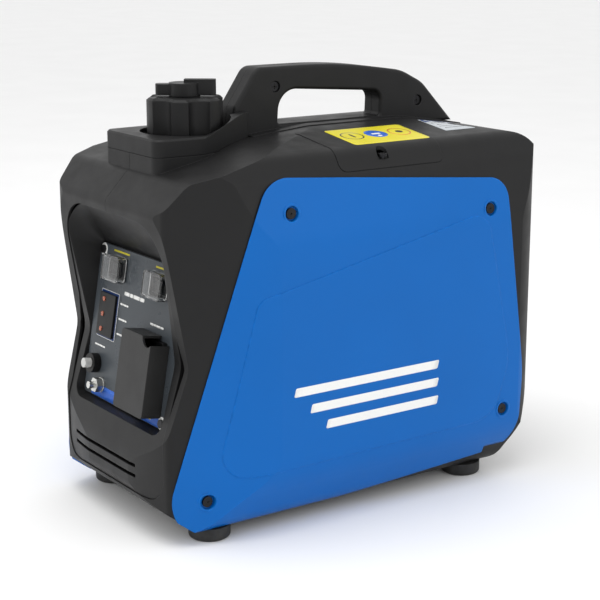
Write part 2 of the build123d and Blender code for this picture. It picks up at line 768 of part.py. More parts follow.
def control_panel():
    """Panel plate with its cut-outs."""
    plate = on_panel((0, 0), RectangleRounded(PANEL_WIDTH, PANEL_HEIGHT, 4), -PANEL_THICK, 0)
    for place in SWITCH_PLACES.values():
        plate -= on_panel(place, Rectangle(SWITCH_WIDTH - 8, SWITCH_HEIGHT - 4), -9, 1)
    plate -= on_panel(OUTLET_PLACE, Rectangle(OUTLET_WIDTH - 10, OUTLET_HEIGHT - 14), -9, 1)
    plate -= on_panel(BREAKER_PLACE, Circle(BREAKER_RADIUS - 2), -9, 1)
    plate -= on_panel(INDICATOR_PLACE, Rectangle(20, 30), -9, 1)
    plate -= on_panel(GROUND_PLACE, Circle(3 + FIT), -9, 1)
    for place in PANEL_SCREW_PLACES:
        plate -= on_panel(place, Circle(1.5 + PIN_RUN), -9, 1)
    plate += hinge_lugs()
    screws = []
    for place in PANEL_SCREW_PLACES:
        screws.append(on_panel(place, Circle(3.6), 0, 1.8) + on_panel(place, Circle(1.5), -9, 0.5))
    return {"control_panel": plate, "panel_screws": Part() + screws}


def switches():
    """Two rocker switches with housings behind the plate and clear boots over them."""
    pieces, housings, boots = {}, [], []
    for name, place in SWITCH_PLACES.items():
        inner = (SWITCH_WIDTH - 8 - 2 * FIT, SWITCH_HEIGHT - 4 - 2 * FIT)
        house = on_panel(place, Rectangle(*inner), -16, 0)
        house += on_panel(place, Rectangle(SWITCH_WIDTH - 2, SWITCH_HEIGHT - 1), 0, 1.5)
        house -= on_panel(place, Rectangle(inner[0] - 4, inner[1] - 4), -12, 9)
        house -= pivot(place, PIVOT_RADIUS + PIN_RUN, inner[1] / 2 - 0.5)
        housings.append(house)
        boot = on_panel(place, RectangleRounded(SWITCH_WIDTH, SWITCH_HEIGHT + 1.5, 3), 1.5, 1.5 + BOOT_DEPTH)
        hollow = RectangleRounded(SWITCH_WIDTH - 3, SWITCH_HEIGHT - 1.5, 2)
        boot -= on_panel(place, hollow, 0, 0.3 + BOOT_DEPTH)
        boots.append(boot)
        pieces["rocker_" + name] = rocker(place, inner[0] - 5, inner[1] - 5)
    pieces["switch_housings"] = Part() + housings
    pieces["switch_boots"] = Part() + boots
    return pieces


def pivot(place, radius, half):
    """Pin up the panel that a rocker tips on."""
    centre = PANEL.from_local_coords((place[0], place[1], 0))
    plane = Plane(centre, x_dir=(1, 0, 0), z_dir=PANEL.y_dir)
    return extrude(plane * Circle(radius), half, both=True)


def rocker(place, width, height):
    """Rocker that tips about an axis across the panel's height."""
    half = width / 2
    lower = [(-half, -1, 1), (0, -9, 4), (half, -1, 1)]
    side = outline(lower + [(half, 3.5, 1), (0, 2.2, 20), (-half, 3.5, 1)])
    centre = PANEL.from_local_coords((place[0], place[1], 0))
    plane = Plane(centre, x_dir=(1, 0, 0), z_dir=-PANEL.y_dir)
    return extrude(plane * side, height / 2, both=True) + pivot(place, PIVOT_RADIUS, height / 2 + 1.5)


def indicator():
    """Indicator block with three lamps."""
    w, h, t = INDICATOR_SIZE
    box = on_panel(INDICATOR_PLACE, Rectangle(w, h), 0, t)
    box += on_panel(INDICATOR_PLACE, Rectangle(20 - FIT, 30 - FIT), -12, 0.5)
    lamps = []
    for step in (-1, 0, 1):
        place = (INDICATOR_PLACE[0] - 5.5, INDICATOR_PLACE[1] + 13 * step)
        box -= on_panel(place, Circle(2.2), t - 1.2, t + 1)
        lamps.append(on_panel(place, Circle(2.1), t - 1.2, t + 0.6))
    return {"indicator_block": box, "indicator_lamps": Part() + lamps}


def ac_outlet():
    """Outlet body in the panel and the box-shaped weather cover hinged on its left edge."""
    insert = Rectangle(OUTLET_WIDTH - 10 - 2 * FIT, OUTLET_HEIGHT - 14 - 2 * FIT)
    body = on_panel(OUTLET_PLACE, insert, -22, 1)
    body += on_panel(OUTLET_PLACE, RectangleRounded(OUTLET_WIDTH - 7, OUTLET_HEIGHT - 8, 3), 0, 4)
    u, v = OUTLET_PLACE
    for du, dv in ((-8, 5), (8, 5), (0, -9)):
        body -= on_panel((u + du, v + dv), Rectangle(2.2, 7.5), -14, 5)
    cover = on_panel(OUTLET_PLACE, RectangleRounded(OUTLET_WIDTH, OUTLET_HEIGHT, 3), RUN, OUTLET_DEPTH)
    cover -= on_panel(
        OUTLET_PLACE, RectangleRounded(OUTLET_WIDTH - 4, OUTLET_HEIGHT - 4, 2), -1, OUTLET_DEPTH - 2
    )
    cover -= on_panel((u + OUTLET_WIDTH / 2 - 6, v + OUTLET_HEIGHT / 2), Circle(8), -1, OUTLET_DEPTH + 1)
    barrel = hinge_rod(HINGE_RADIUS, OUTLET_HEIGHT / 2 - 8)
    web = on_panel((hinge_u() + 1.5, v), Rectangle(3, OUTLET_HEIGHT - 16), HINGE_LIFT - 1, HINGE_LIFT + 1)
    cover += barrel + web
    cover -= hinge_rod(HINGE_PIN + PIN_RUN, OUTLET_HEIGHT / 2)
    return {"ac_outlet": body, "ac_outlet_cover": cover}


def hinge_u():
    """Distance across the panel to the hinge of the weather cover."""
    return OUTLET_PLACE[0] - OUTLET_WIDTH / 2 - HINGE_RADIUS - HINGE_GAP


def hinge_rod(radius, half):
    """Round bar up the panel at the weather cover's hinge."""
    centre = PANEL.from_local_coords((hinge_u(), OUTLET_PLACE[1], HINGE_LIFT))
    return extrude(Plane(centre, x_dir=(1, 0, 0), z_dir=PANEL.y_dir) * Circle(radius), half, both=True)


def hinge_lugs():
    """Two lugs on the panel with the hinge pin between them."""
    lugs = hinge_rod(HINGE_PIN, OUTLET_HEIGHT / 2 - 6)
    for sign in (-1, 1):
        place = (hinge_u(), OUTLET_PLACE[1] + sign * (OUTLET_HEIGHT / 2 - 5.7))
        lugs += on_panel(place, Rectangle(2.6, 4), -0.5, HINGE_LIFT + 1.3)
    return lugs


def breaker():
    """Push-to-reset breaker."""
    body = on_panel(BREAKER_PLACE, Circle(BREAKER_RADIUS), 0, 7)
    body += on_panel(BREAKER_PLACE, Circle(BREAKER_RADIUS - 2 - FIT), -18, 1)
    body -= on_panel(BREAKER_PLACE, Circle(4.5), -12, 8)
    button = on_panel(BREAKER_PLACE, Circle(4.5 - RUN), -4, 13)
    return {"breaker_body": body, "breaker_button": button}


def ground_terminal():
    """Earth stud with its nut."""
    stud = on_panel(GROUND_PLACE, Circle(3), -8, 13) + on_panel(GROUND_PLACE, Circle(6.5), 0, 1.5)
    nut = on_panel(GROUND_PLACE, RegularPolygon(6.5, 6), 1.8, 7.5) - on_panel(
        GROUND_PLACE, Circle(3 + PIN_RUN), 0, 20
    )
    return {"ground_stud": stud, "ground_nut": nut}


# ---------------------------------------------------------------- engine
def crankcase():
    """Crankcase with its right-hand cover."""
    y0, y1 = ENGINE_Y - 50, ENGINE_Y + 50
    case = block(CASE_LEFT, CASE_RIGHT, y0, y1, CASE_LOW, CASE_HIGH)
    case = fillet(case.edges().filter_by(Axis.X), 12)
    room = block(CASE_LEFT + 6, CASE_RIGHT + 1, y0 + 7, y1 - 7, CASE_LOW + 7, CASE_HIGH - 6)
    case -= fillet(room.edges().filter_by(Axis.X), 8)
    case -= rod_x(JOURNAL_RADIUS + PIN_RUN, CASE_LEFT - 1, 0, ENGINE_Y, CRANK_Z)
    case -= rod_z(BORE / 2 + 3, CRANK_Z, CASE_HIGH + 1, 0, ENGINE_Y)
    cover = block(CASE_RIGHT, CASE_RIGHT + 6, y0 + 4, y1 - 4, CASE_LOW + 4, CASE_HIGH - 4)
    cover = fillet(cover.edges().filter_by(Axis.X), 10)
    cover -= rod_x(JOURNAL_RADIUS + PIN_RUN, CASE_RIGHT - 1, CASE_RIGHT + 4, ENGINE_Y, CRANK_Z)
    cover += rod_x(14, CASE_RIGHT + 5, CASE_RIGHT + 12, *oil_place())
    cover -= rod_x(9, CASE_RIGHT - 1, CASE_RIGHT + 13, *oil_place())
    return {"crankcase": case, "crankcase_cover": cover}


def oil_place():
    return (ENGINE_Y + 28, CASE_LOW + 24)


def oil_filler_cap():
    """Screw cap with its dipstick plug."""
    start = CASE_RIGHT + 12 + RUN
    cap = rod_x(13, start, start + 9, *oil_place()) + rod_x(9 - RUN, start - 10, start + 1, *oil_place())
    y, z = oil_place()
    cap += block(start + 8, start + 14, y - 2, y + 2, z - 11, z + 11)
    return {"oil_filler_cap": cap}


def fins(low, high, half, pitch=7.0, thick=2.2):
    """Stack of square cooling fins about the cylinder axis."""
    stack = Part()
    count = int((high - low - thick) / pitch)
    for i in range(count + 1):
        z = low + pitch * i
        stack += block(-half, half, ENGINE_Y - half, ENGINE_Y + half, z, z + thick)
    return stack


def cylinder():
    """Finned barrel and head with the rocker cover on top."""
    barrel = rod_z(BORE / 2 + 8, CASE_HIGH, HEAD_LOW, 0, ENGINE_Y)
    barrel += fins(CASE_HIGH + 6, HEAD_LOW, FIN_HALF)
    barrel -= rod_z(BORE / 2, CASE_HIGH - 1, HEAD_LOW + 1, 0, ENGINE_Y)
    head = rod_z(BORE / 2 + 12, HEAD_LOW, HEAD_HIGH, 0, ENGINE_Y)
    head += fins(HEAD_LOW + 3, HEAD_HIGH - 4, FIN_HALF)
    head += block(-14, 14, ENGINE_Y - FIN_HALF, ENGINE_Y + FIN_HALF, HEAD_LOW + 4, HEAD_HIGH - 6)
    for sign in (-1, 1):
        ends = sorted((ENGINE_Y + sign * 20, ENGINE_Y + sign * (FIN_HALF + 1)))
        head -= rod_y(8, *ends, 0, PORT_Z)
    head -= rod_x(6 + FIT, 18, FIN_HALF + 1, ENGINE_Y, HEAD_LOW + 17)
    cover = block(-30, 30, ENGINE_Y - 26, ENGINE_Y + 26, HEAD_HIGH, HEAD_HIGH + 16)
    head += fillet(cover.edges().filter_by(Axis.Z) + cover.edges().group_by(Axis.Z)[-1], 6)
    return {"cylinder": barrel, "cylinder_head": head}


def piston_set():
    """Piston and connecting rod at top dead centre; the big end is left open."""
    pin_z = CRANK_Z + STROKE / 2 + ROD_LENGTH
    piston = rod_z(BORE / 2 - 0.1, pin_z - 12, pin_z + 15, 0, ENGINE_Y)
    piston -= rod_z(BORE / 2 - 5, pin_z - 13, pin_z + 9, 0, ENGINE_Y)
    piston += rod_x(5, -BORE / 2 + 3, BORE / 2 - 3, ENGINE_Y, pin_z)
    rod = rod_x(8, -5, 5, ENGINE_Y, pin_z) - rod_x(5 + PIN_RUN, -6, 6, ENGINE_Y, pin_z)
    rod += block(-4, 4, ENGINE_Y - 5, ENGINE_Y + 5, CRANK_Z + 20, pin_z - 7)
    rod -= rod_x(STROKE / 2 + 8 + 1.5, -20, 20, ENGINE_Y, CRANK_Z)
    return {"piston": piston, "connecting_rod": rod}


def crankshaft():
    """Crankshaft along X, with its pin at top dead centre."""
    shaft = rod_x(JOURNAL_RADIUS, PULLEY_X + 8, -14, ENGINE_Y, CRANK_Z)
    shaft += rod_x(JOURNAL_RADIUS, 14, CASE_RIGHT + 3.5, ENGINE_Y, CRANK_Z)
    for x in (-14, 6):
        shaft += rod_x(26.5, x, x + 8, ENGINE_Y, CRANK_Z)
    shaft += rod_x(8, -7, 7, ENGINE_Y, CRANK_Z + STROKE / 2)
    return {"crankshaft": shaft}


def generator_set():
    """Flywheel rotor, fan, stator and the shroud round them."""
    rotor = rod_x(FLYWHEEL_RADIUS, -74, CASE_LEFT - 4, ENGINE_Y, CRANK_Z)
    rotor -= rod_x(FLYWHEEL_RADIUS - 7, -69, CASE_LEFT, ENGINE_Y, CRANK_Z)
    rotor += rod_x(14, -70, -58, ENGINE_Y, CRANK_Z)
    rotor -= rod_x(JOURNAL_RADIUS, -80, 0, ENGINE_Y, CRANK_Z)
    fan = rod_x(FAN_RADIUS - 12, -77, -74, ENGINE_Y, CRANK_Z)
    blade = block(-82, -75, -1.2, 1.2, 20, FAN_RADIUS)
    for i in range(12):
        fan += Pos(0, ENGINE_Y, CRANK_Z) * Rot(30 * i, 0, 0) * blade
    fan -= rod_x(JOURNAL_RADIUS, -90, 0, ENGINE_Y, CRANK_Z)
    stator = rod_x(FLYWHEEL_RADIUS - 9, -66, CASE_LEFT - 8, ENGINE_Y, CRANK_Z)
    stator -= rod_x(FLYWHEEL_RADIUS - 9 - 16, -70, CASE_LEFT, ENGINE_Y, CRANK_Z)
    slot = block(-70, CASE_LEFT - 5, -2, 2, FLYWHEEL_RADIUS - 22, FLYWHEEL_RADIUS)
    for i in range(12):
        stator -= Pos(0, ENGINE_Y, CRANK_Z) * Rot(30 * i, 0, 0) * slot
    carrier = rod_x(FLYWHEEL_RADIUS - 20, CASE_LEFT - 12, CASE_LEFT, ENGINE_Y, CRANK_Z)
    stator += carrier - rod_x(17, -90, CASE_LEFT + 1, ENGINE_Y, CRANK_Z)
    shroud = rod_x(FAN_RADIUS + 2 + SHROUD_WALL, -83, CASE_LEFT, ENGINE_Y, CRANK_Z)
    shroud -= rod_x(FAN_RADIUS + 2, -90, CASE_LEFT - 2.5, ENGINE_Y, CRANK_Z)
    shroud -= rod_x(FLYWHEEL_RADIUS - 16, -90, CASE_LEFT + 1, ENGINE_Y, CRANK_Z)
    return {"flywheel_rotor": rotor, "cooling_fan": fan, "stator": stator, "fan_shroud": shroud}


def recoil_starter():
    """Housing, pulley, spring, rope and grip of the pull starter."""
    left, right = PULLEY_X - 13, PULLEY_X + 8
    housing = rod_x(FAN_RADIUS + 4, left, right, ENGINE_Y, CRANK_Z)
    housing -= rod_x(FAN_RADIUS + 2, left + 2, right + 1, ENGINE_Y, CRANK_Z)
    window = block(left - 1, left + 3, -5, 5, PULLEY_RADIUS + 6, FAN_RADIUS - 2)
    for i in range(12):
        housing -= Pos(0, ENGINE_Y, CRANK_Z) * Rot(30 * i, 0, 0) * window
    housing += rod_x(6, left, PULLEY_X + 4, ENGINE_Y, CRANK_Z)
    housing -= rod_z(ROPE_RADIUS + 1, CRANK_Z, CRANK_Z + 80, PULLEY_X, ROPE_Y)
    pulley = rod_x(PULLEY_RADIUS + 2.5, PULLEY_X - 5, PULLEY_X + 5, ENGINE_Y, CRANK_Z)
    groove = rod_x(PULLEY_RADIUS + 4, PULLEY_X - 3, PULLEY_X + 3, ENGINE_Y, CRANK_Z)
    pulley -= groove - rod_x(PULLEY_RADIUS - 6, PULLEY_X - 3, PULLEY_X + 3, ENGINE_Y, CRANK_Z)
    pulley -= rod_x(6 + PIN_RUN, left, right, ENGINE_Y, CRANK_Z)
    spring = rod_x(30, PULLEY_X - 10, PULLEY_X - 6, ENGINE_Y, CRANK_Z)
    spring -= rod_x(10, left, right, ENGINE_Y, CRANK_Z)
    return {
        "recoil_housing": housing,
        "recoil_pulley": pulley,
        "recoil_spring": spring,
        "recoil_rope": recoil_rope(),
        "recoil_grip": recoil_grip(),
    }


def recoil_rope():
    """Rope from the pulley up to the guide and out to the grip."""
    bend = 8.0
    low = CRANK_Z + 4
    corner = (PULLEY_X, ROPE_Y, GRIP_Z)
    end = (-HALF + GRIP_DEPTH + RUN, ROPE_Y, GRIP_Z)
    path = FilletPolyline((PULLEY_X, ROPE_Y, low), corner, end, radius=bend)
    return sweep(Plane((PULLEY_X, ROPE_Y, low), z_dir=(0, 0, 1)) * Circle(ROPE_RADIUS), path=path)


def recoil_grip():
    """Grip that rests in the pocket."""
    half = GRIP_LENGTH / 2
    tall = GRIP_HEIGHT / 2
    grip = block(
        -HALF, -HALF + GRIP_DEPTH, ROPE_Y - half, ROPE_Y + half, GRIP_Z - tall, GRIP_Z + tall
    )
    return fillet(grip.edges(), 5)


def knobs():
    """Choke lever and fuel valve knob in their pockets on the left side."""
    pieces = {}
    for name, (y, z) in knob_places().items():
        outer = -HALF + 0.5
        knob = rod_x(KNOB_RADIUS, outer + 5, outer + 9, y, z)
        knob += block(outer, outer + 6, y - 3.5, y + 3.5, z - KNOB_RADIUS + 1.5, z + KNOB_RADIUS - 1.5)
        knob += rod_x(4, outer + 8, outer + 26, y, z)
        pieces[name] = knob
    return {"choke_knob": pieces["choke"], "fuel_valve_knob": pieces["fuel"]}


# ---------------------------------------------------------------- intake, exhaust, electrics
def intake():
    """Carburettor and air cleaner in front of the cylinder, and the fuel hose."""
    face = ENGINE_Y - FIN_HALF
    carb = rod_y(12, face - 40, face, 0, PORT_Z) - rod_y(8, face - 41, face + 1, 0, PORT_Z)
    bowl = block(-17, 17, face - 30, face - 6, PORT_Z - 32, PORT_Z - 9)
    carb += bowl - rod_y(8, face - 41, face + 1, 0, PORT_Z)
    carb += rod_x(4, HOSE_X + 16, -16, HOSE_Y, PORT_Z - 21)
    cleaner_y = face - 40
    box = block(-34, 44, cleaner_y - 26, cleaner_y, PORT_Z - 74, PORT_Z + 10)
    box = fillet(box.edges().filter_by(Axis.Y), 8)
    box -= block(-31, 41, cleaner_y - 23, cleaner_y - 3, PORT_Z - 71, PORT_Z + 7)
    box -= rod_y(8, cleaner_y - 4, cleaner_y + 1, 0, PORT_Z)
    return {"carburettor": carb, "air_cleaner": box, "fuel_hose": fuel_hose()}


def fuel_hose():
    """Hose from the tank outlet down to the carburettor."""
    top = (HOSE_X, HOSE_Y, TANK_LOW - 14)
    corner = (HOSE_X, HOSE_Y, PORT_Z - 21)
    path = FilletPolyline(top, corner, (HOSE_X + 16, HOSE_Y, PORT_Z - 21), radius=9)
    return sweep(Plane(top, z_dir=(0, 0, -1)) * Circle(4), path=path)


def exhaust():
    """Muffler with its pipe, tail and the spark arrestor in the outlet."""
    z0 = OUTLET_Z - 62
    can = block(-MUFFLER_HALF, MUFFLER_HALF, MUFFLER_FRONT, MUFFLER_REAR, z0, z0 + MUFFLER_HEIGHT)
    can = fillet(can.edges().filter_by(Axis.Y), 22)
    can += rod_y(11, ENGINE_Y + FIN_HALF, MUFFLER_FRONT + 1, 0, PORT_Z)
    can += rod_y(OUTLET_RADIUS - 4.1, MUFFLER_REAR - 1, REAR, OUTLET_X, OUTLET_Z)
    inner = block(
        -MUFFLER_HALF + 2,
        MUFFLER_HALF - 2,
        MUFFLER_FRONT + 2,
        MUFFLER_REAR - 2,
        z0 + 2,
        z0 + MUFFLER_HEIGHT - 2,
    )
    can -= fillet(inner.edges().filter_by(Axis.Y), 20)
    can -= rod_y(8, ENGINE_Y, MUFFLER_FRONT + 5, 0, PORT_Z)
    can -= rod_y(OUTLET_RADIUS - 6, MUFFLER_REAR - 5, REAR + 1, OUTLET_X, OUTLET_Z)
    ring = rod_y(OUTLET_RADIUS, REAR - 10, REAR + OUTLET_PROUD, OUTLET_X, OUTLET_Z)
    ring -= rod_y(OUTLET_RADIUS - 4, REAR - 11, REAR + OUTLET_PROUD - 2, OUTLET_X, OUTLET_Z)
    ring -= rod_y(OUTLET_RADIUS - 7, REAR - 11, REAR + OUTLET_PROUD + 1, OUTLET_X, OUTLET_Z)
    return {"muffler": can, "spark_arrestor": ring}


def electrics():
    """Inverter module with its heat-sink fins, spark plug and plug cap."""
    y0 = FRONT + 63
    low = BASE_TOP + 68
    box = block(-62, 62, y0, y0 + 26, low, TANK_LOW - 10)
    for x in (-62, 56):
        box += block(x, x + 6, y0, y0 + 26, BASE_TOP, low + 1)
    for i in range(16):
        x = -60 + 8 * i - 1
        box += block(x, x + 2, y0 + 25, y0 + 36, low + 3, TANK_LOW - 13)
    plug_z = HEAD_LOW + 17
    plug = rod_x(6, 20, FIN_HALF + 2, ENGINE_Y, plug_z)
    plug += rod_x(9, FIN_HALF + 1, FIN_HALF + 8, ENGINE_Y, plug_z)
    plug += rod_x(5, FIN_HALF + 7, FIN_HALF + 30, ENGINE_Y, plug_z)
    cap = rod_x(9, FIN_HALF + 12, FIN_HALF + 36, ENGINE_Y, plug_z)
    cap += rod_z(7, plug_z - 26, plug_z, FIN_HALF + 28, ENGINE_Y)
    cap -= rod_x(5 + FIT, FIN_HALF + 10, FIN_HALF + 30 + FIT, ENGINE_Y, plug_z)
    return {"inverter_module": box, "spark_plug": plug, "plug_cap": cap}


def isolators():
    """Four rubber mounts between the base pan and the crankcase."""
    group = Part()
    for x in (CASE_LEFT + 12, CASE_RIGHT - 12):
        for y in (ENGINE_Y - 36, ENGINE_Y + 36):
            group += rod_z(11, BASE_TOP, CASE_LOW, x, y)
    return {"engine_mounts": group}


# ---------------------------------------------------------------- write every node
BUILDERS = [
    shells, side_covers, side_cover_screws, base, front_fascia, rear_grille, plug_hatch,
    handle, case_screws, fuel_deck, fuel_tank, fuel_cap, control_panel, switches, indicator,
    ac_outlet, breaker, ground_terminal, crankcase, oil_filler_cap, cylinder, piston_set,
    crankshaft, generator_set, recoil_starter, knobs, intake, exhaust, electrics, isolators,
]


def main():
    os.makedirs("parts", exist_ok=True)
    for build in BUILDERS:
        for name, piece in build().items():
            export_step(piece, f"parts/{name}.step")


if __name__ == "__main__":
    main()
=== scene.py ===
from math import cos, pi, radians, sin, tau

import bmesh
import bpy
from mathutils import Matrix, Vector
from mathutils.bvhtree import BVHTree


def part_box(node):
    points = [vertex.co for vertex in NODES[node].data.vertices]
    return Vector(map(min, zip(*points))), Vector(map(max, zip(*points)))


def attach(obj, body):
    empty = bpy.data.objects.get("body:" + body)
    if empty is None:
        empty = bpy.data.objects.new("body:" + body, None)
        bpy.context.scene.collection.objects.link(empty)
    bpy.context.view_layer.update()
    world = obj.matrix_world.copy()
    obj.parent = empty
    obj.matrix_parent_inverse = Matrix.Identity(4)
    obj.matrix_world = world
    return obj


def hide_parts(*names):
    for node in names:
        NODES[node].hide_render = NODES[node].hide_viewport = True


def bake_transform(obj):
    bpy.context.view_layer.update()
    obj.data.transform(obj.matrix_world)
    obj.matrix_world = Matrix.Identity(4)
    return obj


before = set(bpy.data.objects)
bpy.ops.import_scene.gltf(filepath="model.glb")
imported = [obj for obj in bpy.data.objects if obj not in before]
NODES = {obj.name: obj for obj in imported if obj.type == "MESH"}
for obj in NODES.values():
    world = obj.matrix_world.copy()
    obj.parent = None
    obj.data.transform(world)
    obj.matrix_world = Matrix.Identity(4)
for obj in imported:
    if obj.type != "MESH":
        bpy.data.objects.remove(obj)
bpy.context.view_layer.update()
MM = 0.001
ROOT = "body"

# ------------------------------------------------------------------ camera
CAMERA_PLACE = Vector((1.0955, -0.7578, 0.4902))
CAMERA_AZIMUTH = radians(55.223)
CAMERA_ELEVATION = radians(13.808)
LENS = 91.85

# ------------------------------------------------------------------ colours, linear
BLACK = (0.0095, 0.0095, 0.0098)
DEEP_BLACK = (0.0045, 0.0045, 0.0048)
BLUE = (0.0, 0.112, 0.42)
PANEL_GREY = (0.048, 0.056, 0.064)
MID_GREY = (0.022, 0.022, 0.022)
RUBBER_BLACK = (0.012, 0.012, 0.012)
WHITE = (0.80, 0.80, 0.78)
YELLOW = (0.66, 0.58, 0.02)
STRIP_BLUE = (0.02, 0.11, 0.50)
ORANGE = (0.55, 0.14, 0.03)
SILVER = (0.42, 0.45, 0.48)

# ------------------------------------------------------------------ sizes of the pieces made here
LAND_START = 0.08  # how far off a surface a sheet starts before it is dropped on it
ABOVE_ROOF = 0.40
BESIDE_COVER = 0.20
STRIPE_SLANT = 0.25
STRIPE_LIFT = 0.08  # millimetres, as are the lifts and sizes of all printed pieces
RECESS_SHADE_LIFT = 0.06
WELD = 1e-6
SAME_LEVEL = 1e-5
ROPE_BEND = 0.008  # radius of the rope's guide
ROPE_SIDES = 24
ROPE_RISE_STEPS = 30
ROPE_BEND_STEPS = 12
ROPE_DRAW_STEPS = 90
RISE_TWIST = 0.25  # turn of the strands from one ring to the next, in radians
BEND_TWIST = 0.15
DRAW_TWIST = 0.7  # tighter, because this stretch is drawn out with the grip
STRAND_DEPTH = 0.16


# ------------------------------------------------------------------ shader helpers
class Graph:
    """A material's node tree, with short calls to add and join nodes."""

    def __init__(self, name):
        self.material = bpy.data.materials.new(name)
        self.material.use_nodes = True
        self.tree = self.material.node_tree
        self.shader = self.tree.nodes["Principled BSDF"]
        coordinates = self.add("ShaderNodeTexCoord")
        self.place = coordinates.outputs["Object"]

    def add(self, kind, **settings):
        node = self.tree.nodes.new(kind)
        for key, value in settings.items():
            setattr(node, key, value)
        return node

    def join(self, out, into):
        self.tree.links.new(out, into)

    def noise(self, scale, detail=2.0, rough=0.5):
        node = self.add("ShaderNodeTexNoise")
        node.inputs["Scale"].default_value = scale
        node.inputs["Detail"].default_value = detail
        node.inputs["Roughness"].default_value = rough
        self.join(self.place, node.inputs["Vector"])
        return node.outputs["Fac"]

    def spread(self, value, low, high, out_low=0.0, out_high=1.0):
        node = self.add("ShaderNodeMapRange")
        node.inputs["From Min"].default_value = low
        node.inputs["From Max"].default_value = high
        node.inputs["To Min"].default_value = out_low
        node.inputs["To Max"].default_value = out_high
        self.join(value, node.inputs["Value"])
        return node.outputs["Result"]

    def mix(self, factor, first, second):
        """Colour between first and second; each is a colour or a socket."""
        node = self.add("ShaderNodeMix", data_type="RGBA")
        self.join(factor, node.inputs["Factor"])
        for socket, value in (("A", first), ("B", second)):
            target = [s for s in node.inputs if s.name == socket and s.type == "RGBA"][0]
            if isinstance(value, tuple):
                target.default_value = (*value, 1.0)
            else:
                self.join(value, target)
        return [s for s in node.outputs if s.type == "RGBA"][0]

    def edges(self, radius):
        """Rounded normals, and how much they turn away from the flat ones."""
        bevel = self.add("ShaderNodeBevel", samples=4)
        bevel.inputs["Radius"].default_value = radius
        flat = self.add("ShaderNodeNewGeometry")
        dot = self.add("ShaderNodeVectorMath", operation="DOT_PRODUCT")
        self.join(bevel.outputs["Normal"], dot.inputs[0])
        self.join(flat.outputs["Normal"], dot.inputs[1])
        # edge mask: it drives edges painted paler, partly as wear and partly as a painted highlight
        wear_and_highlight = self.spread(dot.outputs["Value"], 0.999, 0.86)
        return bevel.outputs["Normal"], wear_and_highlight

    def bump(self, height, strength, distance, normal=None):
        node = self.add("ShaderNodeBump")
        node.inputs["Strength"].default_value = strength
        node.inputs["Distance"].default_value = distance
        self.join(height, node.inputs["Height"])
        if normal is not None:
            self.join(normal, node.inputs["Normal"])
        return node.outputs["Normal"]


def lighter(colour, factor):
    return tuple(min(1.0, part * factor) for part in colour)


def plastic(
    name, colour, rough=0.45, grain=1400.0, depth=0.35, edge=0.0009, wear_and_highlight_gain=1.7, coat=0.0, shine=0.22
):
    """Moulded plastic: fine spark-eroded grain, slight mottling, and paler edges that are partly wear and
    partly a painted highlight.
    """
    g = Graph(name)
    normal, wear_and_highlight = g.edges(edge)
    mottle = g.spread(g.noise(9.0, 3.0), 0.3, 0.7)
    base = g.mix(mottle, lighter(colour, 0.97), lighter(colour, 1.03))
    grainy_wear_and_highlight = g.add("ShaderNodeMath", operation="MULTIPLY")
    g.join(wear_and_highlight, grainy_wear_and_highlight.inputs[0])
    g.join(g.spread(g.noise(160.0, 3.0), 0.35, 0.65, 0.25, 0.9), grainy_wear_and_highlight.inputs[1])
    # edges painted paler: partly wear, partly a painted highlight
    g.join(g.mix(grainy_wear_and_highlight.outputs[0], base, lighter(colour, wear_and_highlight_gain)), g.shader.inputs["Base Color"])
    g.join(g.spread(g.noise(60.0, 3.0), 0.3, 0.7, rough - 0.05, rough + 0.06), g.shader.inputs["Roughness"])
    g.join(g.bump(g.noise(grain, 2.0), depth, 0.00006, normal), g.shader.inputs["Normal"])
    g.shader.inputs["Specular IOR Level"].default_value = shine
    g.shader.inputs["Coat Weight"].default_value = coat
    g.shader.inputs["Coat Roughness"].default_value = 0.25
    return g.material


def metal(name, colour, rough=0.35, grain=220.0, depth=0.25, stain=None):
    """Bare metal with machining or casting grain, and heat stain where given."""
    g = Graph(name)
    normal, wear_and_highlight = g.edges(0.0006)
    mottle = g.spread(g.noise(40.0, 5.0, 0.6), 0.35, 0.65)
    second = stain if stain is not None else lighter(colour, 0.7)
    base = g.mix(mottle, colour, second)
    # edges painted lighter: partly wear, partly a painted highlight
    g.join(g.mix(wear_and_highlight, base, lighter(colour, 1.3)), g.shader.inputs["Base Color"])
    g.join(g.spread(g.noise(90.0, 4.0), 0.3, 0.7, rough - 0.08, rough + 0.1), g.shader.inputs["Roughness"])
    g.join(g.bump(g.noise(grain, 4.0, 0.6), depth, 0.0002, normal), g.shader.inputs["Normal"])
    g.shader.inputs["Metallic"].default_value = 1.0
    return g.material


def rubber(name, colour):
    """Matt rubber, dusty in its pores."""
    g = Graph(name)
    normal, wear_and_highlight = g.edges(0.0010)
    dust = g.spread(g.noise(75.0, 6.0, 0.65), 0.48, 0.75, 0.0, 0.5)
    base = g.mix(dust, colour, (0.05, 0.048, 0.044))
    # edges painted much lighter: partly wear, partly a painted highlight
    g.join(g.mix(wear_and_highlight, base, lighter(colour, 2.4)), g.shader.inputs["Base Color"])
    g.join(g.spread(g.noise(120.0, 3.0), 0.3, 0.7, 0.62, 0.82), g.shader.inputs["Roughness"])
    g.join(g.bump(g.noise(900.0, 3.0), 0.4, 0.00012, normal), g.shader.inputs["Normal"])
    return g.material


def clear(name, tint, rough=0.12, through=0.93):
    """Soft clear plastic, slightly hazy."""
    g = Graph(name)
    haze = g.spread(g.noise(140.0, 3.0), 0.35, 0.7, rough, rough + 0.12)
    g.join(haze, g.shader.inputs["Roughness"])
    cloud = g.spread(g.noise(35.0, 2.0), 0.4, 0.7)
    g.join(g.mix(cloud, tint, lighter(tint, 0.85)), g.shader.inputs["Base Color"])
    g.shader.inputs["Transmission Weight"].default_value = through
    g.shader.inputs["IOR"].default_value = 1.42
    normal, _ = g.edges(0.0008)
    g.join(g.bump(g.noise(90.0, 2.0), 0.15, 0.0002, normal), g.shader.inputs["Normal"])
    return g.material


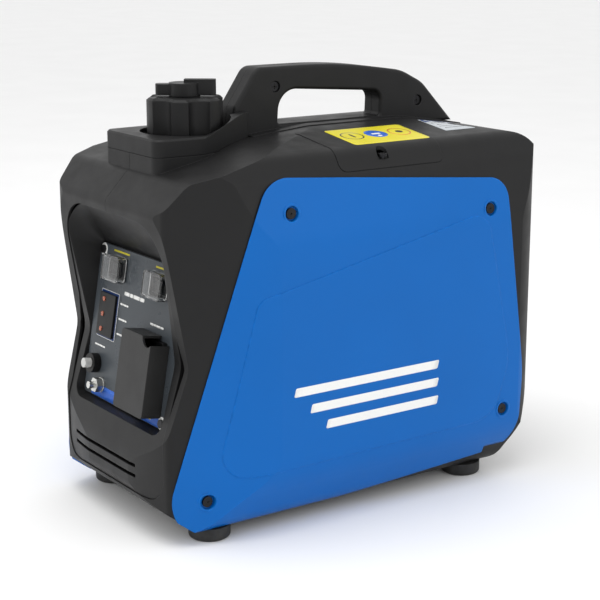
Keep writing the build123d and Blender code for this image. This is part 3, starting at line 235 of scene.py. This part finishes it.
def print_ink(name, colour, rough=0.35):
    """Printed film or glaze: very fine speckle and a soft gloss."""
    g = Graph(name)
    speck = g.spread(g.noise(2600.0, 2.0), 0.3, 0.7)
    g.join(g.mix(speck, lighter(colour, 0.93), lighter(colour, 1.06)), g.shader.inputs["Base Color"])
    g.join(g.spread(g.noise(45.0, 3.0), 0.3, 0.7, rough - 0.05, rough + 0.1), g.shader.inputs["Roughness"])
    g.join(g.bump(g.noise(1800.0, 2.0), 0.12, 0.00004), g.shader.inputs["Normal"])
    return g.material


def braid(name, colour):
    """Braided cord: crossed strands from two slanted waves."""
    g = Graph(name)
    waves = []
    for slant in (-1.0, 1.0):
        turn = g.add("ShaderNodeMapping")
        turn.inputs["Rotation"].default_value = (slant * 0.8, slant * 0.8, 0.0)
        g.join(g.place, turn.inputs["Vector"])
        wave = g.add("ShaderNodeTexWave")
        wave.inputs["Scale"].default_value = 330.0
        g.join(turn.outputs["Vector"], wave.inputs["Vector"])
        waves.append(wave.outputs["Fac"])
    both = g.add("ShaderNodeMath", operation="MAXIMUM")
    g.join(waves[0], both.inputs[0])
    g.join(waves[1], both.inputs[1])
    # the grooves between the strands are painted darker, as painted shade
    g.join(g.mix(both.outputs[0], lighter(colour, 0.35), colour), g.shader.inputs["Base Color"])
    g.join(g.bump(both.outputs[0], 0.7, 0.0004), g.shader.inputs["Normal"])
    g.shader.inputs["Roughness"].default_value = 0.85
    return g.material


# ------------------------------------------------------------------ materials
CASE = plastic("case_plastic", BLACK, rough=0.46, grain=1500.0, depth=0.5)
HANDLE = plastic("handle_plastic", BLACK, rough=0.48, grain=1300.0, depth=0.6)
FASCIA = plastic("fascia_plastic", lighter(BLACK, 1.05), rough=0.38, grain=1500.0, depth=0.3)
COVER = plastic(
    "cover_plastic", BLUE, rough=0.36, grain=1700.0, depth=0.18, edge=0.0020, wear_and_highlight_gain=1.6, coat=0.04, shine=0.16
)
TRIM = plastic("trim_plastic", DEEP_BLACK, rough=0.40, grain=1200.0, depth=0.35)
CAP = plastic("cap_plastic", lighter(BLACK, 0.9), rough=0.42, grain=1300.0, depth=0.5, edge=0.0014)
PLATE = plastic("panel_film", PANEL_GREY, rough=0.30, grain=2200.0, depth=0.15, wear_and_highlight_gain=1.3)
GREY = plastic("cover_grey", MID_GREY, rough=0.40, grain=1500.0, depth=0.3, edge=0.0008, wear_and_highlight_gain=1.6)
INSIDE = plastic("inner_plastic", DEEP_BLACK, rough=0.6, grain=700.0, depth=0.5)
TANK = plastic("tank_plastic", (0.03, 0.03, 0.03), rough=0.55, grain=500.0, depth=0.5)
RUBBER = rubber("foot_rubber", RUBBER_BLACK)
SCREW = metal("screw_black", (0.035, 0.035, 0.037), rough=0.36)
BRIGHT = metal("bright_zinc", (0.62, 0.62, 0.60), rough=0.28)
CAST = metal("cast_alloy", (0.50, 0.51, 0.53), rough=0.48, grain=420.0, depth=0.7)
STEEL = metal("machined_steel", (0.42, 0.42, 0.43), rough=0.30)
EXHAUST = metal(
    "exhaust_steel", (0.20, 0.18, 0.16), rough=0.50, grain=180.0, depth=0.5, stain=(0.10, 0.06, 0.035)
)
WINDING = metal("winding_copper", (0.50, 0.22, 0.09), rough=0.4, grain=700.0, depth=0.8)
CERAMIC = print_ink("ceramic_glaze", (0.78, 0.78, 0.74), rough=0.2)
BOOT = clear("boot_clear", (0.97, 0.975, 0.97), rough=0.02, through=1.0)
BUTTON = clear("button_clear", (0.86, 0.86, 0.84), rough=0.25, through=0.45)
LAMP = clear("lamp_lens", (0.80, 0.22, 0.12), rough=0.15, through=0.6)
ROPE = braid("rope_braid", (0.62, 0.62, 0.60))
INK_WHITE = print_ink("ink_white", WHITE)
INK_YELLOW = print_ink("ink_yellow", YELLOW)
INK_BLUE = print_ink("ink_blue", STRIP_BLUE)
INK_ORANGE = print_ink("ink_orange", ORANGE)
INK_BLACK = print_ink("ink_black", (0.015, 0.015, 0.015))
INK_SILVER = print_ink("ink_silver", SILVER, rough=0.28)
INK_NAVY = print_ink("ink_navy", (0.01, 0.035, 0.14))
# near-black sheet colour: painted shade for the screws' cross recesses
RECESS_SHADE = print_ink("painted_recess_shade", (0.002, 0.002, 0.002), rough=0.7)

NODE_MATERIALS = {
    CASE: ["shell_left", "shell_right", "fuel_deck", "plug_hatch", "rear_grille", "base_pan"],
    HANDLE: ["handle_left", "handle_right"],
    FASCIA: ["front_fascia"],
    COVER: ["side_cover_left", "side_cover_right"],
    TRIM: [
        "choke_knob", "fuel_valve_knob", "recoil_grip", "indicator_block", "ac_outlet",
        "rocker_engine", "rocker_economy", "switch_housings", "breaker_body",
    ],
    CAP: ["fuel_cap", "vent_lever"],
    PLATE: ["control_panel"],
    GREY: ["ac_outlet_cover"],
    INSIDE: ["air_cleaner", "recoil_housing", "recoil_pulley", "fan_shroud", "plug_cap", "oil_filler_cap"],
    TANK: ["fuel_tank"],
    RUBBER: ["rubber_feet", "engine_mounts", "fuel_cap_gasket", "fuel_hose"],
    SCREW: ["side_cover_screws", "case_screws", "panel_screws"],
    BRIGHT: ["ground_stud", "ground_nut"],
    CAST: [
        "crankcase", "crankcase_cover", "cylinder", "cylinder_head", "carburettor",
        "inverter_module", "cooling_fan", "piston",
    ],
    STEEL: ["connecting_rod", "crankshaft", "flywheel_rotor", "recoil_spring"],
    EXHAUST: ["muffler", "spark_arrestor"],
    WINDING: ["stator"],
    CERAMIC: ["spark_plug"],
    BOOT: ["switch_boots"],
    BUTTON: ["breaker_button"],
    LAMP: ["indicator_lamps"],
    ROPE: ["recoil_rope"],
}


def dress(node, material):
    """Gives a CAD node its finish."""
    mesh = NODES[node].data
    if not mesh.materials:
        mesh.materials.append(material)
    for i in range(len(mesh.materials)):
        mesh.materials[i] = material


for material, names in NODE_MATERIALS.items():
    for name in names:
        dress(name, material)


def piece_from(bm, name, material):
    """Makes a smooth object of a closed bmesh, and frees the bmesh."""
    bmesh.ops.recalc_face_normals(bm, faces=bm.faces)
    mesh = bpy.data.meshes.new(name)
    bm.to_mesh(mesh)
    bm.free()
    mesh.materials.append(material)
    for polygon in mesh.polygons:
        polygon.use_smooth = True
    piece = bpy.data.objects.new(name, mesh)
    bpy.context.scene.collection.objects.link(piece)
    return piece


# ------------------------------------------------------------------ flat pieces laid on surfaces
def rounded_box(width, height, radius, steps=5):
    """Outline points of a rounded rectangle about the origin."""
    points = []
    corners = ((1, 1, 0), (-1, 1, 1), (-1, -1, 2), (1, -1, 3))
    for sx, sy, quarter in corners:
        cx, cy = sx * (width / 2 - radius), sy * (height / 2 - radius)
        for i in range(steps + 1):
            angle = (quarter + i / steps) * pi / 2
            points.append((cx + radius * cos(angle), cy + radius * sin(angle)))
    return points


def disc(radius, count=28):
    return [(radius * cos(tau * i / count), radius * sin(tau * i / count)) for i in range(count)]


def surface(*names):
    """Search tree over CAD nodes, for laying pieces on them."""
    bm = bmesh.new()
    for name in names:
        bm.from_mesh(NODES[name].data)
    tree = BVHTree.FromBMesh(bm)
    bm.free()
    return tree


def sticker(name, points, to_world, material, body, thick, land=None, down=None, rings=10):
    """A thin sheet with a convex outline, dropped onto a surface or left flat."""
    bm = bmesh.new()
    centre = Vector((sum(p[0] for p in points), sum(p[1] for p in points))) / len(points)
    layers = []
    for ring in range(1, rings + 1):
        share = ring / rings
        layers.append([centre.lerp(Vector(p), share) for p in points])

    def put(point, lift):
        place = to_world(point[0], point[1])
        if land is None:
            return place + lift * (-down)
        hit = land.ray_cast(place - down * LAND_START, down)[0]
        return hit - down * lift

    top_centre = bm.verts.new(put(centre, thick))
    rows = [[bm.verts.new(put(p, thick)) for p in layer] for layer in layers]
    skirt = [bm.verts.new(put(p, -thick)) for p in layers[-1]]
    count = len(points)
    for i in range(count):
        j = (i + 1) % count
        bm.faces.new((top_centre, rows[0][i], rows[0][j]))
        for inner, outer in zip(rows, rows[1:] + [skirt]):
            bm.faces.new((inner[i], outer[i], outer[j], inner[j]))
    piece = piece_from(bm, name, material)
    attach(piece, body)
    return piece


# ------------------------------------------------------------------ control panel
TILT = radians(9.8)
PANEL_NORMAL = Vector((0, -cos(TILT), sin(TILT)))
PANEL_UP = Vector((0, sin(TILT), cos(TILT)))
PANEL_CENTRE = Vector((0, -0.1673, 0.1575))


def on_panel(u, v):
    """Maps millimetres about a place on the panel to the world."""
    return lambda x, y: PANEL_CENTRE + Vector(((u + x) * MM, 0, 0)) + PANEL_UP * ((v + y) * MM)


def panel_print(name, points, place, material, lift=0.10):
    to_world, thick = on_panel(*place), lift * MM
    return sticker(name, points, to_world, material, ROOT, thick, down=-PANEL_NORMAL, rings=1)


def greeked(name, u, v, length, height, material):
    """A caption as short plain bars, with no letters."""
    widths = (0.26, 0.16, 0.31, 0.21)
    start = u
    for i, share in enumerate(widths):
        width = length * share
        panel_print(f"{name}_{i}", rounded_box(width, height, height * 0.3), (start + width / 2, v), material)
        start += width + length * 0.02


def panel_graphics():
    panel_print("strip_blue", rounded_box(118, 10.4, 0.6), (1.0, -60.4), INK_BLUE, 0.08)
    for name, u, v, width in (("engine", -35.0, 62.6, 27), ("economy", 36.0, 61.2, 24)):
        panel_print(f"caption_bar_{name}", rounded_box(width, 1.6, 0.4), (u, v), INK_YELLOW)
    panel_print("lamp_frame", rounded_box(31.5, 41.5, 0.8), (-45.5, 6.5), INK_WHITE, 0.05)
    panel_print("lamp_frame_inside", rounded_box(30.5, 40.5, 0.6), (-45.5, 6.5), INK_NAVY, 0.09)
    for i, v in enumerate((20, 7, -6)):
        greeked(f"lamp_caption_{i}", -27, v, 14, 1.6, INK_WHITE)
    greeked("outlet_caption", 26, 14, 22, 1.8, INK_WHITE)
    greeked("title_caption", -22, 30, 34, 3.2, INK_WHITE)
    greeked("breaker_caption", -62, -22, 18, 1.5, INK_WHITE)
    panel_print("earth_ring", disc(4.4), (-14, -60.4), INK_ORANGE, 0.12)
    panel_print("earth_ring_inside", disc(3.6), (-14, -60.4), INK_BLUE, 0.14)
    for i, width in enumerate((5.0, 3.4, 1.8)):
        panel_print(f"earth_bar_{i}", rounded_box(width, 0.5, 0.1), (-14, -60.0 - 0.9 * i), INK_WHITE, 0.17)
    panel_print("earth_stem", rounded_box(0.5, 2.2, 0.1), (-14, -58.8), INK_WHITE, 0.17)
    greeked("strip_caption", 2, -59.4, 20, 2.2, INK_WHITE)
    greeked("strip_caption_low", 12, -62.6, 12, 1.2, INK_WHITE)
    panel_print("strip_mark", rounded_box(8, 2.6, 0.5), (42, -61), INK_YELLOW)
    for i, (u, v) in enumerate(((-66.0, 60.5), (63.5, -61.0))):
        panel_print(f"screw_pad_{i}", disc(5.6), (u, v), INK_WHITE, 0.12)


# ------------------------------------------------------------------ roof and side labels
def roof_labels():
    roof = surface("shell_right", "plug_hatch")
    down = Vector((0, 0, -1))

    def lay(name, points, x, y, material, lift, rings=8):
        place = lambda u, v: Vector(((x + u) * MM, (y + v) * MM, ABOVE_ROOF))
        return sticker(name, points, place, material, ROOT, lift * MM, roof, down, rings)

    lay("label_yellow", rounded_box(46, 80, 3), 70, 34, INK_YELLOW, 0.12, 14)
    pictograms = ((9, INK_BLACK, INK_YELLOW), (34, INK_BLUE, INK_BLUE), (59, INK_ORANGE, INK_YELLOW))
    for i, (y, rim, field) in enumerate(pictograms):
        lay(f"pictogram_rim_{i}", disc(10.5), 68, y, rim, 0.16)
        lay(f"pictogram_field_{i}", disc(9.3), 68, y, field, 0.20)
    lay("pictogram_bar_0", rounded_box(10, 2.2, 0.8), 68, 9, INK_BLACK, 0.24, 4)
    lay("pictogram_bar_1", rounded_box(3.2, 9, 0.8), 68, 34, INK_WHITE, 0.24, 4)
    lay("pictogram_dot_1", disc(2.0), 74, 34, INK_WHITE, 0.24, 3)
    lay("pictogram_dot_2", disc(3.4), 68, 59, INK_BLACK, 0.24, 3)
    lay("label_silver", rounded_box(40, 34, 1.5), 57, 121, INK_SILVER, 0.12, 10)
    lay("label_header", rounded_box(9, 32, 0.8), 43, 121, INK_NAVY, 0.16, 8)
    for i in range(4):
        lay(f"label_line_{i}", rounded_box(1.0, 26 - 4 * (i % 2), 0.3), 52 + 5.5 * i, 121, INK_BLACK, 0.16, 5)


def side_stripes():
    """Three plain white stripes on the right cover."""
    side = surface("side_cover_right")
    inward = Vector((-1, 0, 0))
    for i, (y, z, length) in enumerate(((-10, 121, 150), (-2, 105, 134), (6, 89, 118))):
        place = lambda u, v, y=y, z=z: Vector((BESIDE_COVER, (y + u + STRIPE_SLANT * v) * MM, (z + v) * MM))
        points = rounded_box(length, 7.5, 1.2)
        thick = STRIPE_LIFT * MM
        sticker(f"side_stripe_{i}", points, place, INK_WHITE, ROOT, thick, side, inward, 10)


def cross(name, centre, out, across, size=4.6, width=1.1):
    """Two crossed dark bars on a screw head: painted shade standing in for its cross recess."""
    up = out.cross(across).normalized()
    points = rounded_box(size, width, 0.3, 2)
    for i, (long, short) in enumerate(((across, up), (up, across))):
        place = lambda u, v, a=long, b=short: centre + a * (u * MM) + b * (v * MM)
        sticker(f"{name}_{i}", points, place, RECESS_SHADE, ROOT, RECESS_SHADE_LIFT * MM, down=-out, rings=1)


def paint_recess_shades():
    """Dark crosses on the screw heads of the side covers, the handle and the hatch: painted shade for their
    cross recesses.
    """
    for node in ("side_cover_screws", "case_screws"):
        for i, (centre, out) in enumerate(heads(node)):
            cross(f"{node}_slot_{i}", centre, out, Vector((0, 1, 0)))


def heads(node):
    """Centre and outward direction of each screw head of a node, found from its flat end faces."""
    found = []
    bm = bmesh.new()
    bm.from_mesh(NODES[node].data)
    bmesh.ops.remove_doubles(bm, verts=bm.verts, dist=WELD)
    left = set(bm.verts)
    while left:
        stack, island = [left.pop()], []
        while stack:
            vert = stack.pop()
            island.append(vert)
            for edge in vert.link_edges:
                other = edge.other_vert(vert)
                if other in left:
                    left.remove(other)
                    stack.append(other)
        low = Vector([min(v.co[k] for v in island) for k in range(3)])
        high = Vector([max(v.co[k] for v in island) for k in range(3)])
        axis = max(range(3), key=lambda k: high[k] - low[k])
        wide = (axis + 1) % 3
        ends = {}
        for sign, level in ((1, high[axis]), (-1, low[axis])):
            ring = [v.co[wide] for v in island if abs(v.co[axis] - level) < SAME_LEVEL]
            ends[sign] = max(ring) - min(ring)
        sign = max(ends, key=ends.get)
        out = Vector([sign if k == axis else 0 for k in range(3)])
        centre = (low + high) / 2
        centre[axis] = high[axis] if sign > 0 else low[axis]
        found.append((centre, out))
    bm.free()
    return found


# ------------------------------------------------------------------ starter rope
def starter_rope():
    """Twisted rope from the pulley round its guide to the grip, made as one fixed mesh; the stretch to the
    grip is the one that draws out when the grip is pulled.
    """
    low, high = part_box("recoil_rope")
    radius = (high[1] - low[1]) / 2
    rise_x, bend = high[0] - radius, ROPE_BEND
    y, run_z = (low[1] + high[1]) / 2, high[2] - radius
    end_x = low[0]
    stations = []
    steps, turns, draws = ROPE_RISE_STEPS, ROPE_BEND_STEPS, ROPE_DRAW_STEPS
    for i in range(steps):
        place = Vector((rise_x, y, low[2] + (run_z - bend - low[2]) * i / steps))
        stations.append((place, 0.0, RISE_TWIST * i))
    for i in range(turns):
        angle = (pi / 2) * i / turns
        place = Vector((rise_x - bend * (1 - cos(angle)), y, run_z - bend + bend * sin(angle)))
        stations.append((place, angle, RISE_TWIST * steps + BEND_TWIST * i))
    for i in range(draws + 1):
        place = Vector((rise_x - bend + (end_x - rise_x + bend) * i / draws, y, run_z))
        phase = RISE_TWIST * steps + BEND_TWIST * turns + DRAW_TWIST * i
        stations.append((place, pi / 2, phase))
    bm = bmesh.new()
    rings = []
    for place, lean, phase in stations:
        side = Vector((0, 1, 0))
        out = Vector((cos(lean), 0, sin(lean)))
        ring = []
        for k in range(ROPE_SIDES):
            angle = tau * k / ROPE_SIDES
            reach = radius * (1 - STRAND_DEPTH + STRAND_DEPTH * abs(cos(1.5 * angle + phase)))
            ring.append(bm.verts.new(place + out * (reach * cos(angle)) + side * (reach * sin(angle))))
        rings.append(ring)
    for near, far in zip(rings, rings[1:]):
        for k in range(ROPE_SIDES):
            n = (k + 1) % ROPE_SIDES
            bm.faces.new((near[k], near[n], far[n], far[k]))
    bm.faces.new(rings[0][::-1])
    bm.faces.new(rings[-1])
    piece = piece_from(bm, "starter_rope", ROPE)
    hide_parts("recoil_rope")
    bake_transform(piece)


panel_graphics()
roof_labels()
side_stripes()
paint_recess_shades()
starter_rope()


# ------------------------------------------------------------------ floor, lights, camera
def floor():
    bpy.ops.mesh.primitive_plane_add(size=30)
    plane = bpy.context.object
    plane.name = "floor"
    g = Graph("floor_paper")
    speck = g.spread(g.noise(6.0, 2.0), 0.3, 0.7)
    g.join(g.mix(speck, (0.86, 0.86, 0.86), (0.88, 0.88, 0.88)), g.shader.inputs["Base Color"])
    g.shader.inputs["Roughness"].default_value = 0.9
    plane.data.materials.append(g.material)


def area_light(name, place, target, size, power, colour=(1, 1, 1)):
    light = bpy.data.lights.new(name, "AREA")
    light.shape = "RECTANGLE"
    light.size, light.size_y = size
    light.energy = power
    light.color = colour
    lamp = bpy.data.objects.new(name, light)
    bpy.context.scene.collection.objects.link(lamp)
    lamp.location = place
    lamp.rotation_euler = (Vector(target) - Vector(place)).to_track_quat("-Z", "Y").to_euler()


def lights():
    world = bpy.data.worlds.new("studio")
    bpy.context.scene.world = world
    world.use_nodes = True
    world.node_tree.nodes["Background"].inputs["Color"].default_value = (1, 1, 1, 1)
    world.node_tree.nodes["Background"].inputs["Strength"].default_value = 1.0
    area_light("key_top", (0.2, -0.5, 1.9), (0, 0, 0.2), (1.6, 1.2), 14)
    area_light("front_left", (-1.1, -1.7, 1.0), (0, -0.1, 0.2), (0.9, 1.4), 6)
    area_light("side_right", (2.0, 0.6, 0.9), (0, 0, 0.18), (1.4, 1.2), 5)
    bpy.context.scene.view_settings.view_transform = "Standard"


def camera():
    data = bpy.data.cameras.new("camera")
    data.lens = LENS
    data.sensor_width = 36.0
    data.clip_start = 0.01
    holder = bpy.data.objects.new("camera", data)
    bpy.context.scene.collection.objects.link(holder)
    level = cos(CAMERA_ELEVATION)
    look = -Vector((sin(CAMERA_AZIMUTH) * level, -cos(CAMERA_AZIMUTH) * level, sin(CAMERA_ELEVATION)))
    holder.location = CAMERA_PLACE
    holder.rotation_euler = look.to_track_quat("-Z", "Y").to_euler()
    bpy.context.scene.camera = holder


floor()
lights()
camera()
